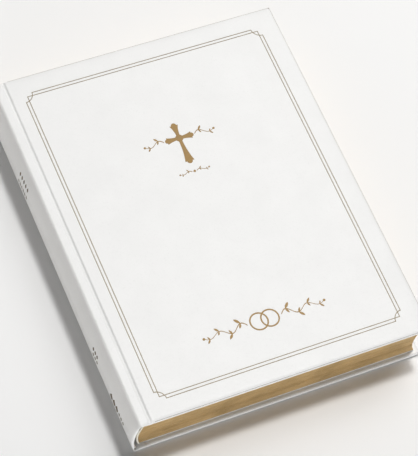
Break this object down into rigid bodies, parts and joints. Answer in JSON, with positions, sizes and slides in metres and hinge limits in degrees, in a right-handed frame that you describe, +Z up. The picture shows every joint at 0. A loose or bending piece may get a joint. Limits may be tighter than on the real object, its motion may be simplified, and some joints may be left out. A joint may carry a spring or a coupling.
{
  "type": "large case-bound bible",
  "caption": "Large white leather case-bound bible with hinged covers, a rounded hollow spine, a sewn block with gilt edges and gilt rules and ornaments on the cover.",
  "frame": {"origin": "centre of the closed book's footprint, on the underside of the back cover", "axes": "+X from the spine to the fore-edge, +Y along the spine towards the head, +Z up through the closed book to the front cover"},
  "size_m": [0.225, 0.286, 0.0421],
  "materials": {
    "white_leather": "fine-grained bonded leather, satin",
    "board": "grey binder's board",
    "pages": "thin white page paper with gilt edges",
    "endpaper": "smooth uncoated endpaper",
    "foil": "hot-stamped gold foil",
    "kraft": "brown kraft paper",
    "thread": "waxed linen thread",
    "band_silk": "woven silk end band",
    "cloth": "open-weave mull and cotton tape"
  },
  "bodies": {
    "back_block": {"back_cover_leather": "white_leather", "back_board": "board", "back_infill": "endpaper", "back_super": "cloth", "back_pastedown": "endpaper", "back_flyleaf": "endpaper", "section_13": "pages", "section_14": "pages", "section_15": "pages", "section_16": "pages", "section_17": "pages", "section_18": "pages", "section_19": "pages", "section_20": "pages", "section_21": "pages", "section_22": "pages", "section_23": "pages", "section_24": "pages", "back_sewing_thread": "thread"},
    "spine": {"spine_leather": "white_leather", "spine_board": "board", "hollow_tube": "kraft", "spine_mull": "cloth", "sewing_tapes": "cloth", "head_band": "band_silk", "tail_band": "band_silk", "spine_foil": "foil"},
    "front_block": {"section_01": "pages", "section_02": "pages", "section_03": "pages", "section_04": "pages", "section_05": "pages", "section_06": "pages", "section_07": "pages", "section_08": "pages", "section_09": "pages", "section_10": "pages", "section_11": "pages", "section_12": "pages", "front_sewing_thread": "thread", "front_joint_leather": "white_leather"},
    "front_cover": {"front_cover_leather": "white_leather", "front_board": "board", "front_infill": "endpaper", "front_super": "cloth", "front_pastedown": "endpaper", "front_rules_foil": "foil", "front_cross_foil": "foil", "front_flourish_foil": "foil", "front_rings_foil": "foil"},
    "flyleaf": {"front_flyleaf": "endpaper"}
  },
  "joints": [
    {"name": "spine_roll", "type": "hinge", "parent": "back_block", "child": "spine", "pos_m": [-0.10826, 0, 0.0044], "axis": [0, -1, 0], "range_deg": [0, 90]},
    {"name": "book_open", "type": "hinge", "parent": "spine", "child": "front_block", "pos_m": [-0.10826, 0, 0.0376], "axis": [0, -1, 0], "range_deg": [0, 90]},
    {"name": "front_cover_turn", "type": "hinge", "parent": "front_block", "child": "front_cover", "pos_m": [-0.10306, 0, 0.0423], "axis": [0, -1, 0], "range_deg": [0, 180]},
    {"name": "flyleaf_turn", "type": "hinge", "parent": "front_block", "child": "flyleaf", "pos_m": [-0.10306, 0, 0.0423], "axis": [0, -1, 0], "range_deg": [0, 173]}
  ],
  "couplings": [
    {"joint": "spine_roll", "follows": "book_open", "ratio": 1},
    {"joint": "flyleaf_turn", "follows": "front_cover_turn", "ratio": 0.96}
  ]
}
